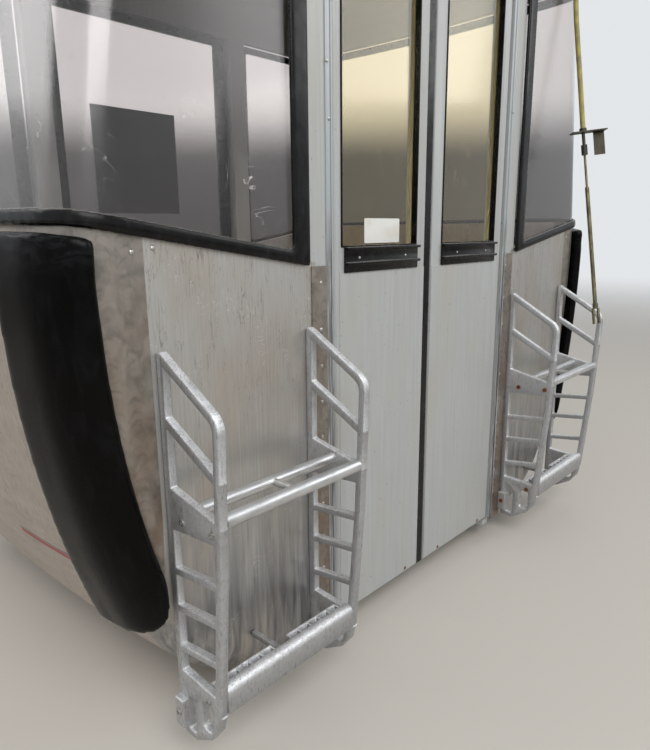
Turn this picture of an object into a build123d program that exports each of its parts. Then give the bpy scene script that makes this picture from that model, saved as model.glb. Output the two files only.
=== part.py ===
from build123d import *
import math
import os

# Passenger cabin of a gondola cable car, in millimetres.
# While it is modelled, X runs along the door side from the middle of the doorway, Y goes from the
# door side to the back, and Z goes up from the door sill. At the end everything is moved so that
# the origin is the middle of the hanger plate's top face.

os.makedirs("parts", exist_ok=True)

# Driving dimensions of the body
DEPTH = 1500
HALF_LENGTH = 1170
FLOOR_BOTTOM = -30
FLOOR_TOP = -2
WALL = 28
GLASS = 6

# End walls: bowed in plan, and in the side view a long flank arc over a tighter turn to the floor
BOW_R = 5650
BOW_SWING = 16
CORNER_R = 100
FLANK_R = 2140
FLANK_CENTRE_Z = 1000
TURN_Z = 200
BLEND_Z = 1030
BLEND_R = 640
LEAN = math.radians(8.4)

# Waist line: level round the ends, falling towards the posts
WAIST_END_Z = 1103
WAIST_POST_Z = 998
WAIST_FALL_DEG = 9.4
WAIST_BLEND_R = 600
WAIST_BAND = 35
WAIST_JOINT = 15
BAND_PROUD = 14

# Top of the walls and roof
RAIL_BOTTOM = 1980
RAIL_TOP = 2050
ROOF_TOP = 2190
ROOF_HALF_LENGTH = 1036
ROOF_EDGE_R = 85
ROOF_SKIN = 30

# Doorway
POST_IN = 443
POST_OUT = 530
POST_DEEP = 50
PANEL_IN = 505
STRIP_IN = 458
STRIP_WIDE = 63
STRIP_THICK = 3
JOINT_X = 975

# Door leaves
LEAF_OUT = 436
LEAF_THICK = 40
LEAF_BOTTOM = 5
LEAF_TOP = 1972
# Distances from the middle of the doorway, side: (leaf's inner edge, pane's inner, pane's outer)
LEAVES = {"right": (0, 52, 380), "left": (38, 81, 410)}
PANE_BOTTOM = 1048
PANE_TOP = 1895
PANE_Y = 14
GASKET_WIDE = 3.5
SEAM_GAP = 6.5
NOSE_R = 14
PIN_R = 6
PIN_CLEAR = 0.08
PIN_LONG = 20
SILL_BACK = 48
LUG_HALF = 18

# Ski racks: the outer upright leans more under the weld than over it
RACK_FRAME_X = (525, 945)
RACK_BAR = 20
RACK_OUT = ((0, 143), (430, 178), (700, 191))

# Roof frame and hanger plate
BUFFER_H = 50
BEAM = 60
PLATE_T = 16
HOLE_R = 9
HOLE_PITCH = 160
MOUNT_Z = ROOF_TOP + BUFFER_H + BEAM + PLATE_T

MID_Y = DEPTH / 2
ORIGIN = Pos(0, -MID_Y, -MOUNT_Z)
BOX_MIN = (Align.MIN, Align.MIN, Align.MIN)


def save(shape, name):
    shape = ORIGIN * shape
    shape.label = name
    export_step(shape, f"parts/{name}.step")


def block(x0, x1, y0, y1, z0, z1):
    return Pos(x0, y0, z0) * Box(x1 - x0, y1 - y0, z1 - z0, align=BOX_MIN)


def mirrored(shape):
    return mirror(shape, about=Plane.YZ)


def behind(shape):
    return mirror(shape, about=Plane.XZ.offset(-MID_Y))


# The body's outline: one end is a section swung about the bow's axis
def swung(section):
    axis = Axis((HALF_LENGTH - BOW_R, MID_Y, 0), (0, 0, 1))
    face = Pos(0, MID_Y, 0) * (Plane.XZ * section)
    face = face.rotate(axis, -BOW_SWING)
    return revolve(face, axis, 2 * BOW_SWING)


def corners_rounded(solid, inset):
    def at_corner(edge):
        middle = edge @ 0.5
        on_side = min(abs(middle.Y - inset), abs(middle.Y - DEPTH + inset)) < 1
        upright = abs((edge @ 0).Z - (edge @ 1).Z) > 5
        return on_side and upright

    return fillet(solid.edges().filter_by(at_corner), CORNER_R - inset)


def both_ends(section, inset):
    end = swung(section)
    slab = block(-1400, 1400, inset, DEPTH - inset, -200, 2400)
    return corners_rounded((end & mirrored(end) & slab).solids()[0], inset)


# The whole outline of one end, each line and arc tangent to the next
def body(inset):
    flank = FLANK_R - inset
    centre_x = HALF_LENGTH - FLANK_R
    lowest = math.asin((FLANK_CENTRE_Z - TURN_Z) / FLANK_R)
    turn = (TURN_Z - FLOOR_BOTTOM) / (1 - math.sin(lowest))
    turn_x = centre_x + (FLANK_R - turn) * math.cos(lowest)
    turn_z = FLANK_CENTRE_Z - (FLANK_R - turn) * math.sin(lowest)
    turn -= inset
    blend = BLEND_R - inset
    blend_x = HALF_LENGTH - BLEND_R

    def on_flank(angle):
        return (centre_x + flank * math.cos(angle), FLANK_CENTRE_Z - flank * math.sin(angle))

    def on_turn(angle):
        return (turn_x + turn * math.cos(angle), turn_z - turn * math.sin(angle))

    def on_blend(angle):
        return (blend_x + blend * math.cos(angle), BLEND_Z + blend * math.sin(angle))

    floor = FLOOR_BOTTOM + inset
    blend_end = on_blend(LEAN)
    top_x = blend_end[0] - (RAIL_TOP - blend_end[1]) * math.tan(LEAN)
    outline = Polyline((turn_x, floor), (-1300, floor), (-1300, RAIL_TOP), (top_x, RAIL_TOP), blend_end)
    outline += ThreePointArc(blend_end, on_blend(LEAN / 2), on_blend(0))
    outline += Line(on_blend(0), on_flank(0))
    outline += ThreePointArc(on_flank(0), on_flank(lowest / 2), on_flank(lowest))
    outline += ThreePointArc(on_turn(lowest), on_turn((lowest + math.pi / 2) / 2), (turn_x, floor))
    return both_ends(make_face(outline), inset)


def below_waist(rise):
    drop = WAIST_END_Z - WAIST_POST_Z
    foot_x = POST_OUT - 38
    top_x = foot_x + drop / math.tan(math.radians(WAIST_FALL_DEG))
    low, high = WAIST_POST_Z + rise, WAIST_END_Z + rise
    line = Polyline((-1400, -300), (-1400, high), (-top_x, high), (-foot_x, low), (foot_x, low),
                    (top_x, high), (1400, high), (1400, -300), (-1400, -300))
    face = make_face(line)
    bends = [corner for corner in face.vertices() if abs(abs(corner.X) - top_x) < 1]
    face = fillet(bends, WAIST_BLEND_R)
    return extrude(Plane.XZ * face, -DEPTH - 100).moved(Pos(0, -50, 0))


def roof_form(inset, top):
    right = ROOF_HALF_LENGTH - inset
    outline = Polyline((-1300, RAIL_TOP), (right, RAIL_TOP), (right, top), (-1300, top),
                       (-1300, RAIL_TOP))
    form = both_ends(make_face(outline), inset)
    rim = form.faces().sort_by(Axis.Z)[-1].edges()
    return fillet(rim, ROOF_EDGE_R - inset)


outer = body(0)
wall_skin = outer - body(WALL)
FLOOR_EDGE_X = 612


# Lower skin: panels meet at the posts, at the upright joints and at the floor's edge
doorway_cut = block(-PANEL_IN, PANEL_IN, -50, CORNER_R, -100, 1300)
tub = (wall_skin & below_waist(WAIST_JOINT)) - doorway_cut


def front_panel():
    return tub & block(PANEL_IN, JOINT_X, -10, CORNER_R, -100, 1300)


def corner_strip():
    return tub & block(JOINT_X, 1300, -10, CORNER_R, -100, 1300)


def end_wall():
    return tub & block(FLOOR_EDGE_X, 1300, CORNER_R, DEPTH - CORNER_R, -100, 1300)


def back_panel():
    return tub & block(-JOINT_X, JOINT_X, DEPTH - CORNER_R, DEPTH + 10, -100, 1300)


def floor_pan():
    return tub & block(-FLOOR_EDGE_X, FLOOR_EDGE_X, CORNER_R, DEPTH - CORNER_R, -100, 100)


# The sill stands back under the leaves; a lug at each end holds a leaf's lower pin
def door_sill():
    sill = block(-PANEL_IN, PANEL_IN, SILL_BACK, CORNER_R, FLOOR_BOTTOM, FLOOR_TOP)
    for side in (1, -1):
        pin_x = side * (LEAF_OUT - NOSE_R)
        sill += block(pin_x - LUG_HALF, pin_x + LUG_HALF, 1, SILL_BACK, FLOOR_BOTTOM + 8, FLOOR_TOP)
        sill -= Pos(pin_x, NOSE_R, 0) * Cylinder(PIN_R + PIN_CLEAR, 200)
    return sill


def front_post():
    return block(POST_IN, POST_OUT, 0, POST_DEEP, FLOOR_TOP, RAIL_BOTTOM) - tub


def back_post():
    post = block(POST_IN, POST_OUT, DEPTH - POST_DEEP, DEPTH, WAIST_POST_Z, RAIL_BOTTOM)
    return post - below_waist(WAIST_JOINT)


def cover_strip():
    return block(STRIP_IN, STRIP_IN + STRIP_WIDE, -STRIP_THICK, 0, FLOOR_TOP - 8, WAIST_POST_Z + 7)


def top_rail():
    rail = wall_skin & block(-1300, 1300, -10, DEPTH + 10, RAIL_BOTTOM, RAIL_TOP)
    for side in (1, -1):
        rail -= Pos(side * (LEAF_OUT - NOSE_R), NOSE_R, RAIL_BOTTOM) * Cylinder(PIN_R + PIN_CLEAR, 60)
    return rail


def roof_shell():
    return roof_form(-10, ROOF_TOP) - roof_form(ROOF_SKIN - 10, ROOF_TOP - ROOF_SKIN)


# Glazing
glazed_band = block(-1300, 1300, -50, DEPTH + 50, 900, RAIL_BOTTOM)
pane_skin = ((outer - body(GLASS)) & glazed_band) - below_waist(WAIST_JOINT)


def end_window():
    return pane_skin & block(POST_OUT, 1300, -10, DEPTH + 10, 900, RAIL_BOTTOM)


def back_window():
    return pane_skin & block(-POST_IN, POST_IN, DEPTH - 20, DEPTH + 10, 900, RAIL_BOTTOM)


RUBBER_W = 58


def end_rubber():
    skin = body(-BAND_PROUD) - outer
    frame = (skin & block(POST_OUT, 1300, -50, DEPTH + 50, 900, RAIL_BOTTOM)) - below_waist(0)
    opening = block(POST_OUT + RUBBER_W, 1400, -60, DEPTH + 60, 900, RAIL_BOTTOM - WAIST_BAND)
    return frame - (opening - below_waist(WAIST_BAND))


def back_rubber():
    window = block(-POST_IN, POST_IN, DEPTH, DEPTH + BAND_PROUD, WAIST_POST_Z, RAIL_BOTTOM)
    inside = block(-POST_IN + RUBBER_W, POST_IN - RUBBER_W, DEPTH - 1, DEPTH + 50,
                   WAIST_POST_Z + WAIST_BAND, RAIL_BOTTOM - WAIST_BAND)
    return window - inside


# Bumper: a thick moulding round each corner, its section swung along the flank's arc
BUMPER_FRONT_X = 1079
BUMPER_SIDE_Y = 190
BUMPER_PROUD = 45
BUMPER_EDGE_R = 16
BUMPER_TURNS = (-3.3, 23)
BUMPER_TOP = ((1070, 1078), (1190, 1099))
BUMPER_FOOT_X = 985
BUMPER_FOOT_Z = 234
BUMPER_FOOT_R = 65


def bow_x(y, out=0):
    return HALF_LENGTH - BOW_R + math.sqrt((BOW_R + out) ** 2 - (MID_Y - y) ** 2)


def bumper():
    radius = CORNER_R + BUMPER_PROUD
    centre_x = bow_x(CORNER_R, -CORNER_R)
    spread = math.asin((MID_Y - CORNER_R) / (BOW_R - CORNER_R))

    def on_corner(angle):
        return (centre_x + radius * math.cos(angle), CORNER_R - radius * math.sin(angle))

    start = math.acos((BUMPER_FRONT_X - centre_x) / radius)
    front, side = on_corner(start), (bow_x(BUMPER_SIDE_Y, BUMPER_PROUD), BUMPER_SIDE_Y)
    middle_y = (on_corner(spread)[1] + BUMPER_SIDE_Y) / 2
    outline = ThreePointArc(front, on_corner((start + spread) / 2), on_corner(spread))
    outline += ThreePointArc(on_corner(spread), (bow_x(middle_y, BUMPER_PROUD), middle_y), side)
    outline += Polyline(side, (bow_x(BUMPER_SIDE_Y) - 20, BUMPER_SIDE_Y), (BUMPER_FRONT_X + 12, 120),
                        (BUMPER_FRONT_X, 60), front)
    section = make_face(outline)
    edges = [corner for corner in section.vertices() if corner.Y < 0 or corner.X > side[0] - 1]
    section = fillet(edges, BUMPER_EDGE_R)
    first, last = BUMPER_TURNS
    axis = Axis((bow_x(0) - FLANK_R, 0, FLANK_CENTRE_Z), (0, 1, 0))
    section = (Pos(0, 0, FLANK_CENTRE_Z) * section).rotate(axis, first)
    band = revolve(section, axis, last - first) - outer
    foot_x, foot_z = BUMPER_FOOT_X, BUMPER_FOOT_Z
    side = Polyline(BUMPER_TOP[1], (1400, BUMPER_TOP[1][1]), (1400, foot_z), (foot_x, foot_z),
                    (foot_x, BUMPER_TOP[0][1]), *BUMPER_TOP)
    face = make_face(side)
    foot = [corner for corner in face.vertices() if corner.X < foot_x + 1 and corner.Y < foot_z + 1]
    face = Pos(0, MID_Y, 0) * (Plane.XZ * fillet(foot, BUMPER_FOOT_R))
    return band & extrude(face, 1000, both=True)


# Door leaves
def door_leaf(inner, pane_in, pane_out):
    leaf = block(inner, LEAF_OUT, 0, LEAF_THICK, LEAF_BOTTOM, LEAF_TOP)
    nose = leaf.edges().filter_by(Axis.Z).sort_by(lambda edge: edge.center().X - edge.center().Y)[-1]
    leaf = fillet(nose, NOSE_R)
    leaf -= block(pane_in, pane_out, -10, LEAF_THICK + 10, PANE_BOTTOM, PANE_TOP)
    pin_long = LEAF_TOP - LEAF_BOTTOM + 2 * PIN_LONG
    pin = Pos(LEAF_OUT - NOSE_R, NOSE_R, (LEAF_TOP + LEAF_BOTTOM) / 2) * Cylinder(PIN_R, pin_long)
    return leaf + pin


def door_pane(inner, pane_in, pane_out):
    return block(pane_in, pane_out, PANE_Y, PANE_Y + 5, PANE_BOTTOM, PANE_TOP)


def pane_gasket(inner, pane_in, pane_out):
    ring = block(pane_in, pane_out, -2, PANE_Y, PANE_BOTTOM, PANE_TOP)
    width = GASKET_WIDE
    return ring - block(pane_in + width, pane_out - width, -10, 50, PANE_BOTTOM + width, PANE_TOP - width)


# The seam's rubber is all on the left leaf and stops short of the right one
def seam_rubber():
    inner = LEAVES["left"][0]
    return block(-inner, -SEAM_GAP, 2, LEAF_THICK - 2, LEAF_BOTTOM, LEAF_TOP)


LEDGE_BOTTOM = 983
LEDGE_RIB = 16
LEDGE_CLEAR = 35


def door_ledge(inner, pane_in, pane_out):
    top = PANE_BOTTOM
    middle = (LEDGE_BOTTOM + top) / 2
    outline = Polyline((0, LEDGE_BOTTOM), (-6, LEDGE_BOTTOM), (-6, middle - 14),
                       (-LEDGE_RIB, middle - 14), (-LEDGE_RIB, middle - 6), (-6, middle - 6),
                       (-6, top - 8), (-LEDGE_RIB, top - 8), (-LEDGE_RIB, top), (0, top),
                       (0, LEDGE_BOTTOM))
    end = min(pane_out + 2, LEAF_OUT - LEDGE_CLEAR)
    return extrude(Pos(pane_in - 2, 0, 0) * (Plane.YZ * make_face(outline)), end - pane_in + 2)


# Ski racks: cast side frames, rails, tie and tray
# Sloping bars of a side frame: height at the panel, height at the outer upright
SLOPES = ((850, 748), (722, 630), (570, 535))
# Rungs, in the same way: they rise towards the outer upright
RUNGS = ((389, 406), (301, 319), (204, 224))


def side_frame():
    def out_at(z):
        low, high = RACK_OUT[:2] if z < RACK_OUT[1][0] else RACK_OUT[1:]
        return low[1] + (high[1] - low[1]) * (z - low[0]) / (high[0] - low[0]) - RACK_BAR / 2

    def bar(start, end, width):
        run, rise = end[0] - start[0], end[1] - start[1]
        middle = Pos((start[0] + end[0]) / 2, (start[1] + end[1]) / 2)
        turn = Rot(0, 0, math.degrees(math.atan2(rise, run)))
        return middle * turn * SlotCenterToCenter(math.hypot(run, rise), width)

    half = RACK_BAR / 2
    loop = FilletPolyline((-half, SLOPES[0][0]), (-out_at(700), SLOPES[0][1]), (-out_at(430), 430),
                          (-out_at(100), 100), radius=(40, 200))
    frame = trace(loop, RACK_BAR)
    frame += bar((-half, 20), (-half, SLOPES[0][0]), RACK_BAR)
    for at_panel, at_upright in SLOPES[1:]:
        frame += bar((-half, at_panel), (-out_at(at_upright), at_upright), RACK_BAR)
    for at_panel, at_upright in RUNGS:
        frame += bar((-half, at_panel), (-out_at(at_upright), at_upright), RACK_BAR - 4)
    frame += make_face(Polyline((0, 575), (0, 485), (-out_at(498), 498), (-out_at(545), 545), (0, 575)))
    foot = make_face(Polyline((0, 152), (0, 24), (-16, -10), (-58, -10), (-114, 24), (-142, 62),
                              (-151.5, 104), (-154, 140), (0, 152)))
    foot = fillet(foot.vertices().group_by(Axis.Y)[0] + foot.vertices().group_by(Axis.Y)[1], 14)
    foot -= Pos(-46, 50) * RectangleRounded(24, 84, 5)
    foot -= Pos(-103, 76) * RectangleRounded(34, 68, 12)
    frame += foot
    outside = Pos(-150, 425) * Rectangle(300, 950)
    return extrude(Plane.YZ * (frame & outside), RACK_BAR)


RAIL_Z = 545
OUTER_RAIL_Y, OUTER_RAIL_R = -168, 15
INNER_RAIL_Y, INNER_RAIL_R = -88, 13
BASE_TUBE_Y, BASE_TUBE_Z, BASE_TUBE_R = -138, 146, 17
# Ski cups: one row in each half of the tray, with an open middle that a bar crosses
CUP_Y = (-149, -95)
CUP_RIB = 6
CUPS = 5
CUP_PITCH = 34
TRAY_BOTTOM, TRAY_TOP = 100, 142


def rail(y, z, radius):
    long = RACK_FRAME_X[1] - RACK_FRAME_X[0] - RACK_BAR
    middle = (RACK_FRAME_X[1] + RACK_FRAME_X[0] + RACK_BAR) / 2
    return Pos(middle, y, z) * Rot(0, 90, 0) * Cylinder(radius, long)


def rack_frames():
    frame = side_frame()
    return [Pos(x, 0, 0) * frame for x in RACK_FRAME_X]


def rack_rails():
    middle = (RACK_FRAME_X[1] + RACK_FRAME_X[0] + RACK_BAR) / 2
    tie_long = INNER_RAIL_Y - OUTER_RAIL_Y
    tie = Pos(middle, (INNER_RAIL_Y + OUTER_RAIL_Y) / 2, RAIL_Z) * Rot(90, 0, 0) * Cylinder(9, tie_long)
    rails = rail(OUTER_RAIL_Y, RAIL_Z, OUTER_RAIL_R) + rail(INNER_RAIL_Y, RAIL_Z, INNER_RAIL_R)
    return rails + tie


def rack_tray():
    x0, x1 = RACK_FRAME_X[0] + RACK_BAR, RACK_FRAME_X[1]
    middle = (x0 + x1) / 2
    half = CUPS * CUP_PITCH + CUP_RIB
    tray = rail(BASE_TUBE_Y, BASE_TUBE_Z, BASE_TUBE_R)
    tray += block(x0, x1, BASE_TUBE_Y - BASE_TUBE_R, BASE_TUBE_Y - BASE_TUBE_R + CUP_RIB, TRAY_BOTTOM,
                  BASE_TUBE_Z)
    for start in (x0, x1 - half):
        cups = block(start, start + half, BASE_TUBE_Y - BASE_TUBE_R + 1, CUP_Y[1] + CUP_RIB, TRAY_BOTTOM,
                     TRAY_TOP)
        for place in range(CUPS):
            left = start + CUP_RIB + place * CUP_PITCH
            cups -= block(left, left + CUP_PITCH - CUP_RIB, *CUP_Y, TRAY_BOTTOM + CUP_RIB, 300)
        tray += cups
    return tray + block(middle - 7, middle + 7, CUP_Y[0] - 2, -2, 112, 126)


# Inside
def bench():
    room = body(WALL + 4)
    seat = block(700, 1300, 70, DEPTH - 70, 400, 450) & room
    riser = block(730, 755, 90, DEPTH - 90, -100, 400) & room
    return seat + riser


def backrest():
    sheet = body(WALL + 4) - body(WALL + 40)
    return sheet & block(800, 1300, CORNER_R + 20, DEPTH - CORNER_R - 20, 500, 960)


def floor_mat():
    return block(-600, 600, CORNER_R + 5, DEPTH - CORNER_R - 5, FLOOR_TOP, FLOOR_TOP + 4)


def notice_plate():
    return block(-268, 135, DEPTH - GLASS - 3, DEPTH - GLASS, 1172, 1605)


# Under the floor
def cross_sill():
    return block(-60, 60, 120, DEPTH - 120, FLOOR_BOTTOM - 50, FLOOR_BOTTOM)


# Roof frame on rubber buffers, with the plate that the hanger arm bolts to
FRAME_X, FRAME_Y = 380, 260
BEAM_BOTTOM = ROOF_TOP + BUFFER_H


def buffers():
    return [Pos(x, MID_Y + y, ROOF_TOP + BUFFER_H / 2) * Cylinder(38, BUFFER_H)
            for x in (-FRAME_X, FRAME_X) for y in (-FRAME_Y, FRAME_Y)]


def roof_frame():
    half = BEAM / 2
    beam_top = BEAM_BOTTOM + BEAM
    frame = block(-FRAME_X - 60, FRAME_X + 60, MID_Y + FRAME_Y - half, MID_Y + FRAME_Y + half,
                  BEAM_BOTTOM, beam_top)
    frame += behind(frame)
    for x in (-110, 110):
        frame += block(x - half, x + half, MID_Y - FRAME_Y, MID_Y + FRAME_Y, BEAM_BOTTOM, beam_top)
    return frame


def hanger_plate():
    plate = block(-150, 150, MID_Y - 120, MID_Y + 120, BEAM_BOTTOM + BEAM, MOUNT_Z)
    half = HOLE_PITCH / 2
    for x in (-half, half):
        for y in (-half, half):
            plate -= Pos(x, MID_Y + y, MOUNT_Z) * Cylinder(HOLE_R, 100)
    return plate


# Loose door cable at the right, leaning out in front of the rack
CABLE_X = 850
CABLE_R = 9
CABLE_ROUTE = (
    (CABLE_X, -24, 2026),
    (CABLE_X, -24, 1920),
    (CABLE_X - 2, -50, 1740),
    (CABLE_X, -72, 1590),
    (CABLE_X + 1, -91, 1452),
)


def cable_clip():
    clip = block(CABLE_X - 22, CABLE_X + 22, -40, 0, 2026, 2048)
    return clip


def door_cable():
    radii = []
    for before, here, after in zip(CABLE_ROUTE, CABLE_ROUTE[1:], CABLE_ROUTE[2:]):
        run_in, run_out = Vector(*here) - Vector(*before), Vector(*after) - Vector(*here)
        turn = math.radians(run_in.get_angle(run_out))
        radii.append(0.45 * min(run_in.length, run_out.length) / math.tan(turn / 2))
    print("cable radii", [round(radius) for radius in radii])
    path = FilletPolyline(*CABLE_ROUTE, radius=radii)
    tube = sweep(Plane(origin=path @ 0, z_dir=path % 0) * Circle(CABLE_R), path)
    print("cable volume ratio", tube.volume / (math.pi * CABLE_R ** 2 * path.length))
    return tube


# Collar, stop bracket, lock nut, rod, tube and fork, on the line of the cable's end
FITTING_END = (852, -190, 815)


def cable_fitting():
    last = Vector(*CABLE_ROUTE[-1])
    along = (Vector(*FITTING_END) - last).normalized()
    at_end = Plane(origin=last, x_dir=(0.68, -0.73, 0), z_dir=along)
    pieces = ((0.3, 16, 13), (16, 60, 6), (60, 96, 11), (96, 215, 4.5), (215, 652, 7.5), (652, 674, 10))
    fitting = None
    for start, stop, radius in pieces:
        rod = at_end * Pos(0, 0, (start + stop) / 2) * Cylinder(radius, stop - start)
        fitting = rod if fitting is None else fitting + rod
    for side in (1, -1):
        fitting += at_end * Pos(side * 10, 0, 702) * Box(6, 12, 60)
    fitting += at_end * Pos(20, 0, 14) * Box(128, 36, 4)
    fitting += at_end * Pos(64, -16, 56) * Box(40, 4, 84)
    return fitting


def save_group(name, *shapes):
    save(Compound(children=list(shapes)), name)


def both(shape):
    return [shape, mirrored(shape)]


def four(shape):
    return both(shape) + both(behind(shape))


# Bodywork
save_group("front_panels", *both(front_panel()))
save_group("corner_strips", *four(corner_strip()))
wall = end_wall()
save(wall, "end_wall_right")
save(mirrored(wall), "end_wall_left")
save(back_panel(), "back_panel")
save(floor_pan(), "floor_pan")
save(door_sill(), "door_sill")
save(cross_sill(), "cross_sill")
save_group("door_posts", *both(front_post()))
save_group("back_posts", *both(back_post()))
save_group("cover_strips", *both(cover_strip()))
save(top_rail(), "top_rail")
save(roof_shell(), "roof_shell")
save_group("bumpers", *four(bumper()))

# Glazing and its rubbers
for name, make in (("end_window", end_window), ("end_window_rubber", end_rubber)):
    piece = make()
    save(piece, f"{name}_right")
    save(mirrored(piece), f"{name}_left")
save(back_window(), "back_window")
save(back_rubber(), "back_window_rubber")

# Door leaves and what turns with them
for side, edges in LEAVES.items():
    for name, make in (("door_leaf", door_leaf), ("door_pane", door_pane),
                       ("pane_gasket", pane_gasket), ("door_ledge", door_ledge)):
        piece = make(*edges)
        save(piece if side == "right" else mirrored(piece), f"{name}_{side}")
save(seam_rubber(), "seam_rubber")

# Ski racks
frames = rack_frames()
save_group("rack_frames", *frames, *[mirrored(frame) for frame in frames])
save_group("rack_rails", *both(rack_rails()))
save_group("rack_trays", *both(rack_tray()))

# Inside
save_group("benches", *both(bench()))
save_group("backrests", *both(backrest()))
save(floor_mat(), "floor_mat")
save(notice_plate(), "notice_plate")

# Roof gear and the loose cable
save_group("roof_buffers", *buffers())
save(roof_frame(), "roof_frame")
save(hanger_plate(), "hanger_plate")
save(cable_clip(), "cable_clip")
save(door_cable(), "door_cable")
save(cable_fitting(), "cable_fitting")
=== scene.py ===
import math

import bmesh
import bpy
from mathutils import Matrix, Vector


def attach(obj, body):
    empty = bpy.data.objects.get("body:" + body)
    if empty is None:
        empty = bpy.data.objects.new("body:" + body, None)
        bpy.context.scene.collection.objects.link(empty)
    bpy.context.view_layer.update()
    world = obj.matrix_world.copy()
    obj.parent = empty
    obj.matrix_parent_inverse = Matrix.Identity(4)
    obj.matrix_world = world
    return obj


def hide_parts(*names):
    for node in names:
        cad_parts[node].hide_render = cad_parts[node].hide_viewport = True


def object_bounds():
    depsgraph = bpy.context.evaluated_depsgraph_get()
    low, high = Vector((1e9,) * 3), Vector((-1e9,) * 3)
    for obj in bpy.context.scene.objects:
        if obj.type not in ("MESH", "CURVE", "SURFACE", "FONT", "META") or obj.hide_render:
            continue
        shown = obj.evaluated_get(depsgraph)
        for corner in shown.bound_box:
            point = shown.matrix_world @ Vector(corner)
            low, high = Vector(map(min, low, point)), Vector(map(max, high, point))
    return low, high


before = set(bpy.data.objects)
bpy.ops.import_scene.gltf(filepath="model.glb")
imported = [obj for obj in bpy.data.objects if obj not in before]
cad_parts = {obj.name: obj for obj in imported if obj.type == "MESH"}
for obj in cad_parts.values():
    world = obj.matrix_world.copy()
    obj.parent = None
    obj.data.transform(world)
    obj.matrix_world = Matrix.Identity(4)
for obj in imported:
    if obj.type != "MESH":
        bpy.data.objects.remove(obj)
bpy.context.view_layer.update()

# Camera: a phone held at chest height in front of the left end, turned towards the doors and
# tipped a little down. Its place and lens come from the cabin's own straight edges.
CAMERA_AT = Vector((-1.620, -1.817, -1.2265))
YAW, PITCH, ROLL = (math.radians(angle) for angle in (47.02, 13.02, 0.54))
LENS_MM, SENSOR_MM = 29.957, 36
flat_right = Vector((math.cos(YAW), -math.sin(YAW), 0))
ahead = Vector((math.sin(YAW) * math.cos(PITCH), math.cos(YAW) * math.cos(PITCH), -math.sin(PITCH)))
flat_down = ahead.cross(flat_right)
right = flat_right * math.cos(ROLL) + flat_down * math.sin(ROLL)
up = flat_right * math.sin(ROLL) - flat_down * math.cos(ROLL)
camera_data = bpy.data.cameras.new("camera")
camera_data.lens = LENS_MM
camera_data.sensor_width = SENSOR_MM
camera_data.clip_start = 0.05
camera = bpy.data.objects.new("camera", camera_data)
turned = Matrix((right, up, -ahead)).transposed().to_4x4()
camera.matrix_world = Matrix.Translation(CAMERA_AT) @ turned
bpy.context.scene.collection.objects.link(camera)
bpy.context.scene.camera = camera
bpy.context.scene.view_settings.view_transform = "Standard"

# Loose door cable: a control cable in a yellow PVC sheath, clipped under the roof's edge and left
# hanging free of the doors. Its points are the ones the solid follows.
CABLE_ROUTE = (
    (0.850, -0.774, -0.290),
    (0.850, -0.774, -0.396),
    (0.848, -0.800, -0.576),
    (0.850, -0.822, -0.726),
    (0.851, -0.841, -0.864),
)
CABLE_WIDE = 0.018
cable_curve = bpy.data.curves.new("door_control_cable", "CURVE")
cable_curve.dimensions = "3D"
cable_curve.bevel_depth = CABLE_WIDE / 2
cable_curve.bevel_resolution = 5
cable_curve.resolution_u = 16
cable_curve.use_fill_caps = True
spline = cable_curve.splines.new("NURBS")
spline.points.add(len(CABLE_ROUTE) - 1)
for point, place in zip(spline.points, CABLE_ROUTE):
    point.co = (*place, 1)
spline.order_u = 3
spline.use_endpoint_u = True
cable = bpy.data.objects.new("door_control_cable", cable_curve)
bpy.context.scene.collection.objects.link(cable)


# An sRGB hex code as a linear colour
def srgb(code):
    parts = [int(code[at:at + 2], 16) / 255 for at in (0, 2, 4)]
    return [part / 12.92 if part <= 0.04045 else ((part + 0.055) / 1.055) ** 2.4
            for part in parts] + [1.0]


# Adds a node with its settings. What goes into a socket is a value or another node's output.
def add(material, kind, inputs={}, output=0, **settings):
    node = material.node_tree.nodes.new(kind)
    for name, value in settings.items():
        setattr(node, name, value)
    for socket, value in inputs.items():
        if isinstance(value, bpy.types.NodeSocket):
            material.node_tree.links.new(value, node.inputs[socket])
        else:
            node.inputs[socket].default_value = value
    return node.outputs[output]


# The shader that gives a material its surface
def shader_of(material):
    return material.node_tree.nodes["Principled BSDF"]


# A material whose even values are set on the shader's own sockets
def start_material(name, code, roughness, metallic=0.0, **values):
    material = bpy.data.materials.new(name)
    material.use_nodes = True
    shader = shader_of(material)
    shader.inputs["Base Color"].default_value = srgb(code)
    shader.inputs["Roughness"].default_value = roughness
    shader.inputs["Metallic"].default_value = metallic
    for socket, value in values.items():
        shader.inputs[socket.replace("_", " ")].default_value = value
    return material


# A mask from 0 to 1: patches of this size in metres along X, Y and Z, from one level to another
def patches(material, size, low, high, detail=4.0, distortion=0.0, offset=(0, 0, 0)):
    where = add(material, "ShaderNodeTexCoord", output="Object")
    scaled = add(material, "ShaderNodeMapping",
                 {"Vector": where, "Location": offset, "Scale": [1 / length for length in size]})
    noise = add(material, "ShaderNodeTexNoise",
                {"Vector": scaled, "Scale": 1.0, "Detail": detail, "Distortion": distortion}, "Fac")
    return add(material, "ShaderNodeMapRange", {"Value": noise, "From Min": low, "From Max": high})


# Mixes a colour over a mask into the colour that is already there
def tint(material, code, mask, strength=1.0):
    target = shader_of(material).inputs["Base Color"]
    before = target.links[0].from_socket if target.is_linked else target.default_value[:]
    amount = add(material, "ShaderNodeMath", {0: mask, 1: strength}, operation="MULTIPLY")
    mixed = add(material, "ShaderNodeMix", {0: amount, 6: before, 7: srgb(code)}, 2,
                data_type="RGBA")
    material.node_tree.links.new(mixed, target)


# Raises the surface by so many metres over a mask
def relief(material, mask, height):
    raised = add(material, "ShaderNodeBump", {"Strength": 1.0, "Distance": height, "Height": mask})
    material.node_tree.links.new(raised, shader_of(material).inputs["Normal"])


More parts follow.
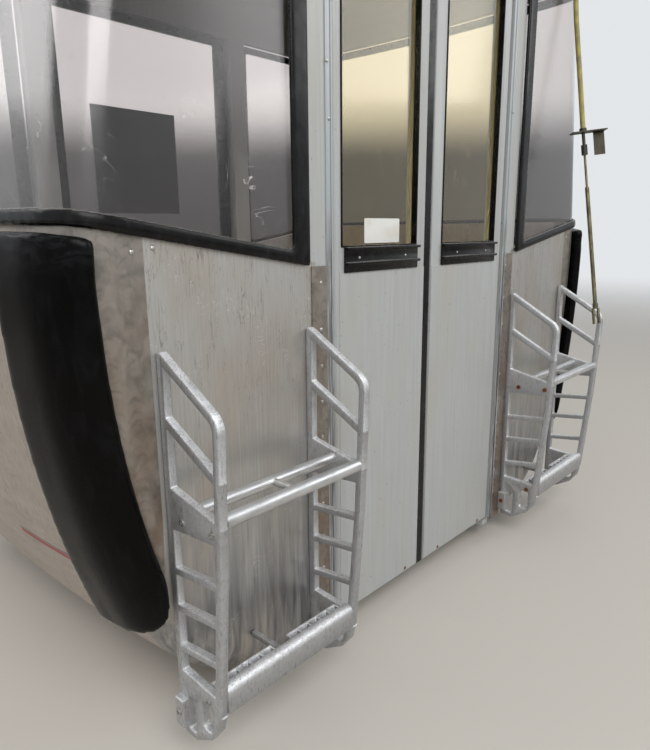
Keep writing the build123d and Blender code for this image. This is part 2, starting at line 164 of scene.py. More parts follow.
# Faded yellow PVC, extruded: dull, with grime in patches and a faint grain
pvc_sheath = start_material("faded_yellow_pvc", "A89C58", 0.55)
tint(pvc_sheath, "6E6A4C", patches(pvc_sheath, (0.03, 0.03, 0.05), 0.45, 0.7))
relief(pvc_sheath, patches(pvc_sheath, (0.002, 0.002, 0.004), 0.3, 0.7), 0.0002)
cable_curve.materials.append(pvc_sheath)
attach(cable, "cabin")
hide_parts("door_cable")

# Front and back panels and the floor pan: mill-finish aluminium sheet, riveted on and never
# painted. Its grain stands upright, and it has brown patches, dark cracks above the racks' middle
# and, below, painted shade in upright streaks that darkens towards the bottom.
CRACKS_END_Z, CRACKS_FULL_Z = -1.85, -1.45
LOW_SHADE_START_Z, LOW_SHADE_FULL_Z = -1.75, -2.2


# A mask that grows from 0 at one height to 1 at another, broken up by a second mask
def by_height(material, none_at, full_at, broken):
    where = add(material, "ShaderNodeTexCoord", output="Object")
    height = add(material, "ShaderNodeSeparateXYZ", {0: where}, "Z")
    rise = add(material, "ShaderNodeMapRange",
               {"Value": height, "From Min": none_at, "From Max": full_at})
    return add(material, "ShaderNodeMath", {0: rise, 1: broken}, operation="MULTIPLY")


# A mask of thin wavy lines: where a noise crosses its middle level, cut into short pieces
def hairlines(material, size, thin, here, offset=(0, 0, 0), distortion=1.2, detail=3.0):
    middle = 0.5
    rising = patches(material, size, middle - thin, middle, detail, distortion, offset)
    falling = patches(material, size, middle + thin, middle, detail, distortion, offset)
    line = add(material, "ShaderNodeMath", {0: rising, 1: falling}, operation="MINIMUM")
    return add(material, "ShaderNodeMath", {0: line, 1: here}, operation="MULTIPLY")


# Roughness from one value to another over a mask
def dulled(material, mask, smooth, rough):
    spread = add(material, "ShaderNodeMapRange", {"Value": mask, "To Min": smooth, "To Max": rough})
    material.node_tree.links.new(spread, shader_of(material).inputs["Roughness"])


# Gives CAD nodes a material in place of the plain one that they come with
def dress(material, *nodes):
    for node in nodes:
        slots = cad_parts[node].data.materials
        slots.clear()
        slots.append(material)


# Bare aluminium, rolled: a half-bright metal, with a grain of 3.5 mm, as coarse as it needs to show
bare_sheet = start_material("weathered_mill_aluminium", "BCBAB6", 0.42, 0.75)
grain = patches(bare_sheet, (0.0035, 0.0035, 0.3), 0.3, 0.7, detail=3.0)
tint(bare_sheet, "9B9A98", grain, 0.5)
tint(bare_sheet, "A89C8E", patches(bare_sheet, (0.15, 0.25, 0.35), 0.45, 0.65), 0.45)
shade_streaks = patches(bare_sheet, (0.02, 0.02, 0.22), 0.3, 0.7, detail=5.0, distortion=0.8,
                   offset=(3, 1, 2))
# Painted shade: a dark blue-grey in upright streaks, growing towards the bottom near the trays
tint(bare_sheet, "4E545E", by_height(bare_sheet, LOW_SHADE_START_Z, LOW_SHADE_FULL_Z, shade_streaks), 0.8)
crack_here = patches(bare_sheet, (0.03, 0.03, 0.09), 0.4, 0.54, detail=2.0, offset=(5, 5, 5))
cracked = by_height(bare_sheet, CRACKS_END_Z, CRACKS_FULL_Z, crack_here)
for wide, long, thin, depth in ((0.011, 0.14, 0.013, 0.42), (0.024, 0.24, 0.007, 0.55)):
    cracks = hairlines(bare_sheet, (wide, wide, long), thin, cracked, offset=(wide * 90, 0, 0),
                       distortion=0.7)
    tint(bare_sheet, "4E4A46", cracks, depth)
score_here = patches(bare_sheet, (0.08, 0.08, 0.08), 0.55, 0.62, detail=2.0, offset=(9, 2, 5))
scored = hairlines(bare_sheet, (0.05, 0.05, 0.03), 0.006, score_here, offset=(7, 0, 0))
tint(bare_sheet, "DEDCD8", scored, 0.7)
dulled(bare_sheet, grain, 0.34, 0.5)
relief(bare_sheet, grain, 0.0002)
dress(bare_sheet, "front_panels", "back_panel", "floor_pan")

# Corner strips and cover strips: folded aluminium, riveted over the sheet seams. It is ground with
# columns of overlapping swirls, which show as stacked crescents, and browned by weather.
SWIRL_WIDE, SWIRL_RISE = 0.045, 0.024
SWIRL_BOW, SWIRL_WANDER = 0.8, 0.9
BROWN_START_Z, BROWN_FULL_Z = -1.25, -1.85
swirled = start_material("swirl_ground_aluminium", "989189", 0.38, 0.7)
where = add(swirled, "ShaderNodeTexCoord", output="Object")
spot = add(swirled, "ShaderNodeSeparateXYZ", {0: where}).node
# From -1 to 1 across each column, the same on both sides of the cabin
across = spot.outputs["X"]
for step, by in (("ABSOLUTE", 0.0), ("DIVIDE", SWIRL_WIDE), ("FRACT", 0.0), ("SUBTRACT", 0.5),
                 ("MULTIPLY", 2.0)):
    across = add(swirled, "ShaderNodeMath", {0: across, 1: by}, operation=step)
across_squared = add(swirled, "ShaderNodeMath", {0: across, 1: across}, operation="MULTIPLY")
bow = add(swirled, "ShaderNodeMath", {0: across_squared, 1: SWIRL_BOW}, operation="MULTIPLY")
wander = add(swirled, "ShaderNodeMath",
             {0: patches(swirled, (0.03, 0.03, 0.03), 0.2, 0.8), 1: SWIRL_WANDER},
             operation="MULTIPLY")
wave = spot.outputs["Z"]
for step, by in (("DIVIDE", SWIRL_RISE), ("ADD", bow), ("ADD", wander), ("MULTIPLY", 2 * math.pi),
                 ("SINE", 0.0), ("MAXIMUM", 0.0)):
    wave = add(swirled, "ShaderNodeMath", {0: wave, 1: by}, operation=step)
inside = add(swirled, "ShaderNodeMath", {0: 1.0, 1: across_squared}, operation="SUBTRACT")
crescent = add(swirled, "ShaderNodeMath", {0: wave, 1: inside}, operation="MULTIPLY")
fading_here = patches(swirled, (0.035, 0.035, 0.04), 0.4, 0.62, detail=2.0, offset=(1, 4, 2))
faded = add(swirled, "ShaderNodeMath", {0: crescent, 1: fading_here}, operation="MULTIPLY")
tint(swirled, "565452", faded, 0.5)
dark_here = patches(swirled, (0.03, 0.03, 0.04), 0.4, 0.7, detail=3.0, distortion=0.8)
tint(swirled, "66655F", dark_here, 0.7)
light_here = patches(swirled, (0.02, 0.02, 0.03), 0.5, 0.75, detail=3.0, distortion=0.6,
                     offset=(8, 1, 1))
tint(swirled, "A39F98", light_here, 0.35)
browned = patches(swirled, (0.05, 0.05, 0.12), 0.35, 0.6, distortion=0.4)
tint(swirled, "7E6857", by_height(swirled, BROWN_START_Z, BROWN_FULL_Z, browned), 0.7)
dulled(swirled, crescent, 0.32, 0.44)
dress(swirled, "corner_strips", "cover_strips")

# Rivets of the strips: aluminium pop rivets in a column down each cover strip, and one at each end
# of the other seams. Their domes are drawn in one mesh.
RIVET_FOOT, RIVET_HEAD, RIVET_PITCH = -2.221, -1.352, 0.0941
RIVETS_IN_COLUMN = 9
RIVET_RADIUS, RIVET_TALL = 0.0055, 0.0022
COLUMN_LEFT_X, COLUMN_RIGHT_X, COLUMN_Y = -0.490, 0.470, -0.753
SEAM_ENDS = ((0.953, -0.750, -1.256), (0.999, -0.750, -1.262), (0.4645, -0.7543, -0.843),
             (0.454, -0.7505, -0.967))


# Makes a shape into a piece that rides on a body and takes its finish from a slot
def finished(shape, name, material, body):
    mesh = bpy.data.meshes.new(name)
    shape.to_mesh(mesh)
    shape.free()
    mesh.materials.append(material)
    made = bpy.data.objects.new(name, mesh)
    bpy.context.scene.collection.objects.link(made)
    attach(made, body)
    return made


# Domed heads that face the front, in one mesh
def domes(name, material, body, places, radius, height):
    shape = bmesh.new()
    forward = Vector((0, -1, 0)).to_track_quat("Z", "Y").to_matrix().to_4x4()
    squashed = Matrix.Diagonal((1, 1, height / radius, 1))
    for place in places:
        bmesh.ops.create_uvsphere(shape, u_segments=12, v_segments=6, radius=radius,
                                  matrix=Matrix.Translation(place) @ forward @ squashed)
    for face in shape.faces:
        face.smooth = True
    finished(shape, name, material, body)


strip_rivets = []
for rivet_z in [RIVET_FOOT + step * RIVET_PITCH for step in range(RIVETS_IN_COLUMN)] + [RIVET_HEAD]:
    strip_rivets.append((COLUMN_LEFT_X, COLUMN_Y, rivet_z))
    strip_rivets.append((COLUMN_RIGHT_X, COLUMN_Y, rivet_z))
for side in (1, -1):
    strip_rivets.extend([(side * x, y, z) for x, y, z in SEAM_ENDS])
# Drawn aluminium, oxidised: a soft bright dome with grime in its pores
rivet_aluminium = start_material("dulled_rivet_aluminium", "BEBCB8", 0.36, 0.85)
tint(rivet_aluminium, "6F6A63", patches(rivet_aluminium, (0.004, 0.004, 0.004), 0.4, 0.65), 0.6)
domes("strip_rivets", rivet_aluminium, "cabin", strip_rivets, RIVET_RADIUS,
      RIVET_TALL)

# End walls: aluminium sheet, bent to the cabin's curve, in a thin stone-grey coat that shows its
# grain. A fine dark coach line over a red one runs from near the middle to the front bumper.
LINES_START_Y = -0.195
DARK_LINE = ("2E2B2A", -1.975, 0.0018)
RED_LINE = ("A32F38", -1.986, 0.0065)
# Enamel, rolled on thin: part metal to the eye, with an upright grain of 5 mm and fine cracks
end_paint = start_material("stone_grey_enamel", "B5ABA1", 0.42, 0.3)
end_grain = patches(end_paint, (0.005, 0.005, 0.25), 0.35, 0.65, distortion=0.3)
tint(end_paint, "958A80", end_grain, 0.55)
tint(end_paint, "8A8077", patches(end_paint, (0.02, 0.15, 0.05), 0.55, 0.75, detail=5.0), 0.4)
crack_here = patches(end_paint, (0.04, 0.04, 0.12), 0.45, 0.6, detail=2.0, offset=(5, 5, 5))
tint(end_paint, "5C534D", hairlines(end_paint, (0.02, 0.02, 0.16), 0.016, crack_here), 0.5)
where = add(end_paint, "ShaderNodeTexCoord", output="Object")
spot = add(end_paint, "ShaderNodeSeparateXYZ", {0: where}).node
in_front = add(end_paint, "ShaderNodeMath", {0: spot.outputs["Y"], 1: LINES_START_Y},
               operation="LESS_THAN")
for line_code, line_z, line_half in (DARK_LINE, RED_LINE):
    on_line = add(end_paint, "ShaderNodeMath", {0: spot.outputs["Z"], 1: line_z, 2: line_half},
                  operation="COMPARE")
    drawn_here = add(end_paint, "ShaderNodeMath", {0: on_line, 1: in_front}, operation="MULTIPLY")
    tint(end_paint, line_code, drawn_here, 0.9)
dulled(end_paint, patches(end_paint, (0.05, 0.2, 0.05), 0.35, 0.65), 0.34, 0.52)
dress(end_paint, "end_wall_right", "end_wall_left")

# Door leaves, posts, rail, sill and roof: aluminium sheet and extrusions, powder coated grey-white.
# Each leaf is one welded frame with soft edges, hung on pins at its outer edge.
LEAF_EDGE = 0.0035
MERGE_WITHIN = 0.00002
FLAT_WITHIN, SHARP_FROM, SHOWN_SHARP_FROM = (math.radians(angle) for angle in (0.8, 35, 40))


# Rounds some edges of a shape to this width
def round_edges(shape, edges, width, segments=2):
    bmesh.ops.bevel(shape, geom=edges, offset=width, offset_type="OFFSET", segments=segments,
                    affect="EDGES", profile=0.5, material=-1)


# A merged copy of a CAD node with its sharp edges rounded, which then stands for the node
def rounded_copy(node, name, material, body, width, segments=2):
    shape = bmesh.new()
    shape.from_mesh(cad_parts[node].data)
    bmesh.ops.remove_doubles(shape, verts=shape.verts, dist=MERGE_WITHIN)
    bmesh.ops.dissolve_limit(shape, angle_limit=FLAT_WITHIN, verts=shape.verts, edges=shape.edges)
    edges = [edge for edge in shape.edges if edge.is_manifold and edge.calc_face_angle() > SHARP_FROM]
    round_edges(shape, edges, width, segments)
    for face in shape.faces:
        face.smooth = True
    made = finished(shape, name, material, body)
    made.data.set_sharp_from_angle(angle=SHOWN_SHARP_FROM)
    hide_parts(node)


# Powder coat, baked on: satin, with a faint orange peel, grey rain streaks, warm patches and chips
powder_coat = start_material("grey_white_powder_coat", "ABAEAE", 0.4)
tint(powder_coat, "A09F9A", patches(powder_coat, (0.01, 0.01, 0.3), 0.4, 0.7, detail=5.0), 0.6)
tint(powder_coat, "A8A49B", patches(powder_coat, (0.15, 0.15, 0.5), 0.48, 0.68), 0.5)
chipped = patches(powder_coat, (0.006, 0.006, 0.012), 0.71, 0.74, detail=2.0)
tint(powder_coat, "6B6862", chipped, 0.8)
dulled(powder_coat, patches(powder_coat, (0.03, 0.03, 0.3), 0.35, 0.65), 0.32, 0.48)
relief(powder_coat, patches(powder_coat, (0.003, 0.003, 0.003), 0.3, 0.7), 0.00008)
dress(powder_coat, "door_posts", "back_posts", "top_rail", "door_sill", "roof_shell")
for side in ("right", "left"):
    rounded_copy(f"door_leaf_{side}", f"leaf_{side}", powder_coat, f"door_{side}",
                 LEAF_EDGE)

# Leaf skins: a sheet bonded over the lower half of each leaf, in the leaf's own coat, whose folded
# edge shows as a fine line
SKIN_OUTER_X, SKIN_Y, SKIN_Z = 0.4175, -0.7506, -1.8195
SKIN_THICK, SKIN_TALL, SKIN_FOLD = 0.0012, 0.973, 0.0008


# Adds a block of this size about its middle
def block(shape, middle, size):
    bmesh.ops.create_cube(shape, size=1,
                          matrix=Matrix.Translation(middle) @ Matrix.Diagonal((*size, 1)))


for side, sign, inner_x in (("right", 1, 0.0015), ("left", -1, 0.0395)):
    skin = bmesh.new()
    block(skin, (sign * (SKIN_OUTER_X + inner_x) / 2, SKIN_Y, SKIN_Z),
          (SKIN_OUTER_X - inner_x, SKIN_THICK, SKIN_TALL))
    front = [edge for edge in skin.edges if all(vert.co.y < SKIN_Y for vert in edge.verts)]
    round_edges(skin, front, SKIN_FOLD)
    finished(skin, f"leaf_skin_{side}", powder_coat, f"door_{side}")

# Post edges: an extruded aluminium moulding with a bead each side of a hollow, riveted to the post,
# which the leaf closes against. Each strip has the middle of its width, its width and how far it
# stands out.
FRONT_Y = -0.750
MOULDING_Z, MOULDING_TALL = -1.3265, 1.973
MOULDING_STRIPS = ((0.4645, 0.0075, 0.0045), (0.4555, 0.0110, 0.0006), (0.4460, 0.0060, 0.0040))
BEAD_ROUND, BEAD_LEAST = 0.0028, 0.002
WEAR_START_Z, WEAR_FULL_Z = -1.17, -1.3
mouldings = bmesh.new()
for side in (1, -1):
    for edge_x, wide, proud in MOULDING_STRIPS:
        block(mouldings, (side * edge_x, FRONT_Y - proud / 2, MOULDING_Z),
              (wide, proud, MOULDING_TALL))
bead_edges = [edge for edge in mouldings.edges
              if abs(edge.verts[0].co.z - edge.verts[1].co.z) > MOULDING_TALL / 2
              and edge.verts[0].co.y < FRONT_Y - BEAD_LEAST]
round_edges(mouldings, bead_edges, BEAD_ROUND, 4)
for face in mouldings.faces:
    face.smooth = True
# The posts' coat, rubbed through by hands to dull metal below the waist, in streaks of 4 mm
worn_extrusion = start_material("hand_worn_extrusion", "A9AEB0", 0.38, 0.3)
hand_wear = patches(worn_extrusion, (0.004, 0.004, 0.12), 0.4, 0.6)
tint(worn_extrusion, "55524F", by_height(worn_extrusion, WEAR_START_Z, WEAR_FULL_Z, hand_wear), 0.8)
moulding = finished(mouldings, "post_edge_mouldings", worn_extrusion, "cabin")
moulding.data.set_sharp_from_angle(angle=math.radians(50))

# Bumpers: thick polyurethane mouldings, bolted round the corners from behind, which the station's
# guides rub along their top
SCUFF_START_Z, SCUFF_FULL_Z = -1.30, -1.225
BUMPER_GRID, BUMPER_ROUNDS = 0.007, 10


# A copy of a CAD node on an even grid, with its edges smoothed round as in a moulding, which then
# stands for the node
def moulded_copy(node, name, material, body, grid, rounds):
    shape = bmesh.new()
    shape.from_mesh(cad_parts[node].data)
    bmesh.ops.remove_doubles(shape, verts=shape.verts, dist=MERGE_WITHIN)
    made = finished(shape, name, material, body)
    gridded = made.modifiers.new("grid", "REMESH")
    gridded.mode = "VOXEL"
    gridded.voxel_size = grid
    settled = made.evaluated_get(bpy.context.evaluated_depsgraph_get())
    shape = bmesh.new()
    shape.from_mesh(settled.to_mesh())
    settled.to_mesh_clear()
    made.modifiers.clear()
    for _ in range(rounds):
        bmesh.ops.smooth_vert(shape, verts=shape.verts, factor=0.5, use_axis_x=True, use_axis_y=True,
                              use_axis_z=True)
    for face in shape.faces:
        face.smooth = True
        face.material_index = 0
    shape.to_mesh(made.data)
    shape.free()
    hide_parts(node)


# Polyurethane, moulded: satin black, scuffed grey along the top
moulded_pu = start_material("satin_black_polyurethane", "020202", 0.3, Specular_IOR_Level=0.1)
scuffed = patches(moulded_pu, (0.04, 0.03, 0.015), 0.45, 0.75, detail=6.0, distortion=0.5)
tint(moulded_pu, "34363A", by_height(moulded_pu, SCUFF_START_Z, SCUFF_FULL_Z, scuffed), 0.7)
greyed = patches(moulded_pu, (0.05, 0.02, 0.09), 0.5, 0.75, detail=5.0, distortion=0.8)
tint(moulded_pu, "141416", greyed, 0.5)
dulled(moulded_pu, patches(moulded_pu, (0.05, 0.05, 0.12), 0.4, 0.7), 0.2, 0.34)
moulded_copy("bumpers", "corner_bumpers", moulded_pu, "cabin", BUMPER_GRID,
             BUMPER_ROUNDS)

# Rubbers: half-round EPDM extrusions, pressed over the sheet's edge round the windows and along the
# doors' seam. The ledges under the panes are screwed on and of the same black.
DUST_AND_SHEEN_FROM, DUST_AND_SHEEN_FULL = 0.55, 0.95
RUBBER_GRID, RUBBER_ROUNDS = 0.0035, 24
LEDGE_EDGE = 0.0022


# A mask of what faces up, from one slope to another
def facing_up(material, none_at, full_at):
    slope = add(material, "ShaderNodeTexCoord", output="Normal")
    facing = add(material, "ShaderNodeSeparateXYZ", {0: slope}, "Z")
    return add(material, "ShaderNodeMapRange",
               {"Value": facing, "From Min": none_at, "From Max": full_at})


# EPDM, extruded: near black and half glossy, a little greyed, with dust and a painted highlight on
# what faces up
epdm = start_material("black_epdm", "060607", 0.3, Specular_IOR_Level=0.22)
tint(epdm, "2A2A2C", patches(epdm, (0.02, 0.02, 0.05), 0.5, 0.8), 0.5)
dulled(epdm, patches(epdm, (0.03, 0.03, 0.03), 0.35, 0.65), 0.16, 0.32)
# Dust and painted highlight: what faces up is lightened to a pale grey
tint(epdm, "A29E96", facing_up(epdm, DUST_AND_SHEEN_FROM, DUST_AND_SHEEN_FULL), 0.55)
dress(epdm, "back_window_rubber", "pane_gasket_right", "pane_gasket_left", "seam_rubber",
      "roof_buffers")
for side in ("right", "left"):
    moulded_copy(f"end_window_rubber_{side}", f"window_rubber_{side}", epdm, "cabin",
                 RUBBER_GRID, RUBBER_ROUNDS)
    rounded_copy(f"door_ledge_{side}", f"ledge_{side}", epdm, f"door_{side}",
                 LEDGE_EDGE)

# Leaf screws: low steel heads at the foot of each leaf, gone rusty, and bright ones through the
# ledges. Left and right don't match.
FOOT_SCREWS = (("left", -2.297, (-0.104, -0.372)), ("right", -2.299, (0.088, 0.359)))
LEDGE_SCREWS = (("left", (-0.345, -0.141)), ("right", (0.137, 0.318)))
FOOT_SCREW_Y, LEDGE_SCREW_Y, LEDGE_SCREW_Z = -0.7512, -0.756, -1.296
FOOT_SCREW_RADIUS, LEDGE_SCREW_RADIUS, LOW_HEAD = 0.006, 0.004, 0.0018
# Steel, rusted through its plating: rough and brown, orange in spots
rusted = start_material("rusted_steel", "6B4630", 0.7, 0.3)
tint(rusted, "A0522D", patches(rusted, (0.003, 0.003, 0.003), 0.45, 0.65), 0.6)
for side, z, across_leaf in FOOT_SCREWS:
    domes(f"leaf_screws_{side}", rusted, f"door_{side}",
          [(x, FOOT_SCREW_Y, z) for x in across_leaf], FOOT_SCREW_RADIUS, LOW_HEAD)
for side, across_leaf in LEDGE_SCREWS:
    domes(f"ledge_screws_{side}", rivet_aluminium, f"door_{side}",
          [(x, LEDGE_SCREW_Y, LEDGE_SCREW_Z) for x in across_leaf], LEDGE_SCREW_RADIUS, LOW_HEAD)

# End and back windows: one bent sheet of smoke-tinted acrylic each, held in its rubber and crossed
# by fine scratches
ACRYLIC_IOR, NO_BENDING = 1.49, 1.0


# A scratch scatters white, and the sheet lets light straight through elsewhere
def scratch_white(material, mask, left_clear):
    clear = add(material, "ShaderNodeMapRange", {"Value": mask, "To Min": 1.0, "To Max": left_clear})
    material.node_tree.links.new(clear, shader_of(material).inputs["Transmission Weight"])


# Cast acrylic: a thin even sheet bends nothing behind it, and its gloss, a coat here, is soft from
# wear
tinted_acrylic = start_material("smoke_tinted_acrylic", "F2EDEB", 0.02, Transmission_Weight=1.0,
                                IOR=NO_BENDING, Coat_Weight=1.0, Coat_IOR=ACRYLIC_IOR,
                                Coat_Roughness=0.2)
scratch_here = patches(tinted_acrylic, (0.12, 0.12, 0.12), 0.5, 0.62, detail=2.0, offset=(2, 7, 1))
scratches = hairlines(tinted_acrylic, (0.16, 0.16, 0.10), 0.0022, scratch_here, offset=(1, 1, 1),
                      distortion=2.0, detail=1.5)
scratch_white(tinted_acrylic, scratches, 0.5)
dress(tinted_acrylic, "end_window_right", "end_window_left", "back_window")

# Door panes: flat acrylic, held in a gasket, yellowed by the sun, less scratched than the windows
# and glossier
door_acrylic = start_material("yellowed_acrylic", "FFF1C6", 0.02, Transmission_Weight=1.0,
                              IOR=NO_BENDING, Coat_Weight=1.0, Coat_IOR=ACRYLIC_IOR,
                              Coat_Roughness=0.12)
rubbed_here = patches(door_acrylic, (0.1, 0.1, 0.1), 0.52, 0.64, detail=2.0, offset=(4, 2, 6))
rubbed = hairlines(door_acrylic, (0.09, 0.09, 0.22), 0.003, rubbed_here, offset=(3, 5, 1),
                   distortion=1.6, detail=1.5)
scratch_white(door_acrylic, rubbed, 0.6)
dress(door_acrylic, "door_pane_right", "door_pane_left")

# Notice card: a blank white card of vinyl with round corners, stuck on the left pane at its foot
# and a little yellowed
CARD_MIDDLE = (-0.2245, -0.7364, -1.2277)
CARD_WIDE, CARD_THICK, CARD_TALL, CARD_CORNER = 0.155, 0.0008, 0.065, 0.004
card_stock = start_material("white_vinyl_card", "DEDEDA", 0.6)
tint(card_stock, "C8C4B6", patches(card_stock, (0.05, 0.05, 0.05), 0.45, 0.7), 0.6)
card = bmesh.new()
block(card, CARD_MIDDLE, (CARD_WIDE, CARD_THICK, CARD_TALL))
corners = [edge for edge in card.edges
           if abs(edge.verts[0].co.y - edge.verts[1].co.y) > CARD_THICK / 2]
round_edges(card, corners, CARD_CORNER, 4)
finished(card, "notice_card", card_stock, "door_left")

# Ski racks: side frames and ski trays cast in sand, screwed to the front panels. The aluminium is
# pitted at 2.5 mm, with dark pores and scrapes, and a painted highlight near white on what faces up.
LIT_TOP_FROM, LIT_TOP_FULL = -0.1, 0.75
FRAME_EDGE, TRAY_EDGE = 0.0035, 0.0015
cast = start_material("sand_cast_aluminium", "B4B5B7", 0.4, 0.75)
# Painted highlight: what faces up is lightened near white, as if lit from above
tint(cast, "F0F0F1", facing_up(cast, LIT_TOP_FROM, LIT_TOP_FULL), 0.85)
scraped = patches(cast, (0.0035, 0.0035, 0.02), 0.58, 0.7, distortion=0.3, offset=(3, 3, 3))
tint(cast, "5F6062", scraped, 0.6)
tint(cast, "8A8B8D", patches(cast, (0.0025, 0.0025, 0.0025), 0.5, 0.68), 0.45)
tint(cast, "A4A3A1", patches(cast, (0.02, 0.02, 0.02), 0.45, 0.68), 0.45)
dulled(cast, patches(cast, (0.01, 0.01, 0.01), 0.35, 0.65), 0.3, 0.6)
relief(cast, patches(cast, (0.0025, 0.0025, 0.0025), 0.3, 0.7), 0.0005)
rounded_copy("rack_frames", "rack_side_frames", cast, "cabin", FRAME_EDGE)
rounded_copy("rack_trays", "rack_ski_trays", cast, "cabin", TRAY_EDGE, 1)

# Foot lugs of the racks: thick ears that are cast with each side frame, on its outside, and each
# take a socket screw
FRAME_FACES = ((0.525, -1), (0.965, 1))
LUG_SIZE = (0.018, 0.031, 0.070)
LUG_OUT, LUG_Y, LUG_Z, LUG_EDGE = 0.006, -0.7685, -2.266, 0.003
lugs = bmesh.new()
for side in (1, -1):
    for face_x, out in FRAME_FACES:
        block(lugs, (side * (face_x + out * LUG_OUT), LUG_Y, LUG_Z), LUG_SIZE)
round_edges(lugs, lugs.edges[:], LUG_EDGE)
finished(lugs, "rack_foot_lugs", cast, "cabin")

# Socket screws of the racks: round heads with a sunk socket, through the side frames and their
# gussets. Each has its reach from the wall, its height above the rack's foot, and how far it stands
# out. The left rack's are bright and the right rack's have rusted.
RACK_FOOT_Z = -2.316
SCREWS_ON_FRAME = ((0.056, 0.514, 0), (0.156, 0.519, 0), (0.0185, 0.052, 0.015), (0.112, 0.120, 0))
HEAD_RADIUS, HEAD_TALL = 0.0075, 0.0035
SOCKET_RIM, SOCKET_DEEP = HEAD_RADIUS * 0.45, 0.0028


# Heads with a sunk round socket, in one mesh: each has its place and the way it faces
def socket_screws(name, material, places):
    screws = bmesh.new()
    for place, out in places:
        turn = Vector(out).to_track_quat("Z", "Y").to_matrix().to_4x4()
        head = bmesh.ops.create_circle(screws, cap_ends=True, segments=18, radius=HEAD_RADIUS,
                                       matrix=Matrix.Translation(place) @ turn)["verts"]
        base = next(face for vert in head for face in vert.link_faces)
        for inset, depth in ((0, HEAD_TALL), (SOCKET_RIM, -SOCKET_DEEP)):
            if inset:
                bmesh.ops.inset_region(screws, faces=[base], thickness=inset)
            grown = bmesh.ops.extrude_face_region(screws, geom=[base])["geom"]
            verts = [item for item in grown if isinstance(item, bmesh.types.BMVert)]
            bmesh.ops.translate(screws, verts=verts, vec=Vector(out) * depth)
            bmesh.ops.delete(screws, geom=[base], context="FACES_ONLY")
            base = next(item for item in grown if isinstance(item, bmesh.types.BMFace))
    bmesh.ops.recalc_face_normals(screws, faces=screws.faces)
    finished(screws, name, material, "cabin")


for side, material, name in ((-1, rivet_aluminium, "rack_screws_left"),
                             (1, rusted, "rack_screws_right")):
    places = []
    for face_x, out in FRAME_FACES:
        for reach, height, proud in SCREWS_ON_FRAME:
            place = (side * (face_x + out * proud), FRONT_Y - reach, height + RACK_FOOT_Z)
            places.append((place, (side * out, 0, 0)))
    socket_screws(name, material, places)

# Rack rails: round tubes of drawn aluminium from casting to casting, held in their ends. They are
# smoother and brighter than the castings, with long grey smears.
drawn = start_material("worn_drawn_aluminium", "C9C9C9", 0.32, 0.8)
tint(drawn, "8B8B8B", patches(drawn, (0.05, 0.012, 0.012), 0.45, 0.75), 0.5)
dulled(drawn, patches(drawn, (0.06, 0.03, 0.03), 0.35, 0.65), 0.28, 0.4)
dress(drawn, "rack_rails")

# Inside: benches, backrests, a mat and a blank notice plate on the back wall. Their polyethylene is
# rotation moulded, dark grey and matt, with a leathery grain of 4 mm.
BENCH_EDGE = 0.008
seat_plastic = start_material("grey_moulded_polyethylene", "4E4E50", 0.5)
relief(seat_plastic, patches(seat_plastic, (0.004, 0.004, 0.004), 0.3, 0.7), 0.0003)
rounded_copy("benches", "moulded_benches", seat_plastic, "cabin", BENCH_EDGE, 3)
dress(seat_plastic, "backrests", "notice_plate", "floor_mat")

# Roof frame, hanger plate, cable clip and the sills under the floor: steel, dipped in hot zinc once
# it is welded, which leaves a dull grey metal with a spangle of 30 mm
BEAM_EDGE = 0.005
galvanised = start_material("hot_dip_galvanised_steel", "96989A", 0.45, 0.8)
tint(galvanised, "74777A", patches(galvanised, (0.03, 0.03, 0.03), 0.45, 0.6), 0.7)
dress(galvanised, "hanger_plate", "cross_sill", "cable_clip")
rounded_copy("roof_frame", "welded_roof_frame", galvanised, "cabin", BEAM_EDGE)

# Cable end: collar, stop bracket, lock nut, rod, tube and fork, screwed together on the sheath's
# end. Their zinc is passivated to a dull khaki, dirty in streaks, and greasy black from the bracket
# up.
GREASE_BELOW_Z, GREASE_FULL_Z = -0.967, -0.955
zinc = start_material("yellow_passivated_zinc", "857D60", 0.45, 0.7)
tint(zinc, "4D493B", patches(zinc, (0.01, 0.01, 0.03), 0.4, 0.6), 0.7)
evenly = patches(zinc, (0.02, 0.02, 0.02), 0.0, 0.2)
tint(zinc, "2B2925", by_height(zinc, GREASE_BELOW_Z, GREASE_FULL_Z, evenly), 0.85)
dress(zinc, "cable_fitting")

# Floor: a pale studio floor that runs out to the pale surround. Far off it fades out, so that no
# hard line shows between them, and it shows from above only.
FLOOR_REACH, FLOOR_GAP = 60, 0.002
FADE_FROM, FADE_TO = 4.0, 16.0
floor_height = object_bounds()[0][2]
ground = bmesh.new()
bmesh.ops.create_grid(ground, x_segments=1, y_segments=1, size=FLOOR_REACH,
                      matrix=Matrix.Translation((0, 0, floor_height - FLOOR_GAP)))
ground_mesh = bpy.data.meshes.new("floor")
ground.to_mesh(ground_mesh)
ground.free()
floor = bpy.data.objects.new("floor", ground_mesh)
bpy.context.scene.collection.objects.link(floor)
pale = start_material("pale_floor", "CFC9C0", 0.8)
ground_mesh.materials.append(pale)
where = add(pale, "ShaderNodeTexCoord", output="Object")
away = add(pale, "ShaderNodeVectorMath", {0: where}, "Value", operation="LENGTH")
fading = add(pale, "ShaderNodeMapRange", {"Value": away, "From Min": FADE_FROM, "From Max": FADE_TO},
             interpolation_type="SMOOTHSTEP")
rays = add(pale, "ShaderNodeLightPath").node
unseen = add(pale, "ShaderNodeMath", {0: fading, 1: rays.outputs["Is Camera Ray"]},
             operation="MULTIPLY")
under_side = add(pale, "ShaderNodeNewGeometry", output="Backfacing")
unseen = add(pale, "ShaderNodeMath", {0: unseen, 1: under_side}, operation="MAXIMUM")
see_through = add(pale, "ShaderNodeBsdfTransparent")
faded_floor = add(pale, "ShaderNodeMixShader",
                  {0: unseen, 1: shader_of(pale).outputs[0], 2: see_through})
pale.node_tree.links.new(faded_floor, pale.node_tree.nodes["Material Output"].inputs["Surface"])
# Through glass it is darker, as ground is out of doors
tint(pale, "4E463F", rays.outputs["Is Transmission Ray"], 0.88)

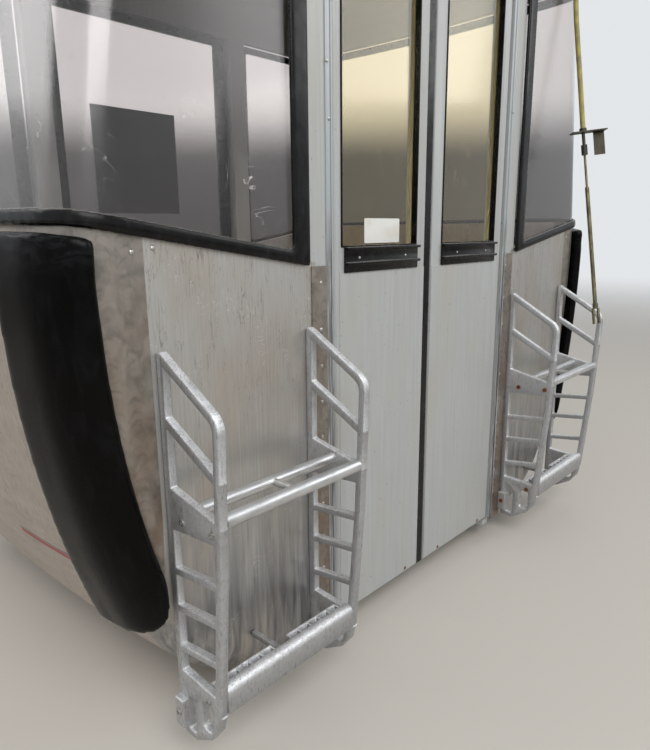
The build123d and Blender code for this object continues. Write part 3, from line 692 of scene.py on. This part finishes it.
# Light: three soft boxes and an even pale surround, which camera, gloss and glass see as white.
# Through glass the surround is darker towards the ground, as it is out of doors.
LAMPS = (("key", (-2.5, -5.0, 2.5), 4.0, 230),
         ("fill", (3.5, -4.0, 1.5), 3.0, 60),
         ("back", (-4.0, 3.0, 2.0), 3.0, 70))
CABIN_MIDDLE = Vector((0, 0, -1.2))
LIT_LEVEL, SEEN_LEVEL = 0.55, 0.95
PALE_ABOVE, DARK_BELOW, DARKNESS = 0.19, 0.10, 0.88
for name, place, size, watts in LAMPS:
    lamp_data = bpy.data.lights.new(name, "AREA")
    lamp_data.size = size
    lamp_data.energy = watts
    lamp = bpy.data.objects.new(name, lamp_data)
    aim = CABIN_MIDDLE - Vector(place)
    lamp.matrix_world = Matrix.Translation(place) @ aim.to_track_quat("-Z", "Y").to_matrix().to_4x4()
    bpy.context.scene.collection.objects.link(lamp)
world = bpy.data.worlds.new("surround")
world.use_nodes = True
bpy.context.scene.world = world
sky = world.node_tree.nodes["Background"]
sky.inputs["Color"].default_value = srgb("E9ECEF")
rays = add(world, "ShaderNodeLightPath").node
seen = rays.outputs["Is Camera Ray"]
for kind in ("Is Transmission Ray", "Is Glossy Ray"):
    seen = add(world, "ShaderNodeMath", {0: seen, 1: rays.outputs[kind]}, operation="MAXIMUM")
level = add(world, "ShaderNodeMapRange", {"Value": seen, "To Min": LIT_LEVEL, "To Max": SEEN_LEVEL})
direction = add(world, "ShaderNodeTexCoord", output="Generated")
steepness = add(world, "ShaderNodeSeparateXYZ", {0: direction}, "Z")
low_down = add(world, "ShaderNodeMapRange",
               {"Value": steepness, "From Min": PALE_ABOVE, "From Max": DARK_BELOW,
                "To Max": DARKNESS}, interpolation_type="SMOOTHSTEP")
dimmed = add(world, "ShaderNodeMath", {0: low_down, 1: rays.outputs["Is Transmission Ray"]},
             operation="MULTIPLY")
kept = add(world, "ShaderNodeMath", {0: 1.0, 1: dimmed}, operation="SUBTRACT")
strength = add(world, "ShaderNodeMath", {0: level, 1: kept}, operation="MULTIPLY")
world.node_tree.links.new(strength, sky.inputs["Strength"])
